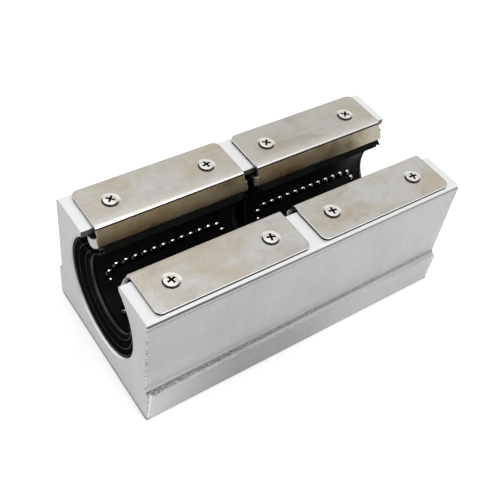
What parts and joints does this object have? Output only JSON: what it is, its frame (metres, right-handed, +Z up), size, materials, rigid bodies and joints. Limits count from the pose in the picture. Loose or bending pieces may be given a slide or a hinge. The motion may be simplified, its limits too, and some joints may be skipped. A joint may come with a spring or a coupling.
{
  "type": "linear bearing block",
  "caption": "Open twin linear ball bearing block for a 20 mm shaft, with an extruded aluminium housing, folded cover plates and two slotted ball bushings.",
  "frame": {"origin": "middle of the flat mounting face, straight below the middle of the shaft line", "axes": "+X along the shaft line and the block's length, +Y across, +Z up from the mounting face to the open slot"},
  "size_m": [0.096, 0.048, 0.0396],
  "materials": {
    "housing_aluminium": "fine sawn and drawn, satin",
    "cover_steel": "satin rolled stainless",
    "screw_steel": "plated",
    "bearing_steel": "ground",
    "cage_plastic": "moulded, slightly glossy",
    "seal_rubber": "moulded, satin",
    "ball_steel": "polished"
  },
  "bodies": {
    "root": {"housing": "housing_aluminium", "bushing_sleeve_near": "bearing_steel", "ball_cage_near": "cage_plastic", "lip_seal_near_inner": "seal_rubber", "lip_seal_near_outer": "seal_rubber", "end_seal_near": "seal_rubber", "balls_near_1": "ball_steel", "balls_near_2": "ball_steel", "balls_near_3": "ball_steel", "balls_near_4": "ball_steel", "balls_near_5": "ball_steel", "bushing_sleeve_far": "bearing_steel", "ball_cage_far": "cage_plastic", "lip_seal_far_inner": "seal_rubber", "lip_seal_far_outer": "seal_rubber", "end_seal_far": "seal_rubber", "balls_far_1": "ball_steel", "balls_far_2": "ball_steel", "balls_far_3": "ball_steel", "balls_far_4": "ball_steel", "balls_far_5": "ball_steel", "cover_plate_front_near": "cover_steel", "cover_screw_front_near_1": "screw_steel", "cover_screw_front_near_2": "screw_steel", "cover_plate_front_far": "cover_steel", "cover_screw_front_far_1": "screw_steel", "cover_screw_front_far_2": "screw_steel", "cover_plate_back_near": "cover_steel", "cover_screw_back_near_1": "screw_steel", "cover_screw_back_near_2": "screw_steel", "cover_plate_back_far": "cover_steel", "cover_screw_back_far_1": "screw_steel", "cover_screw_back_far_2": "screw_steel"}
  },
  "joints": []
}
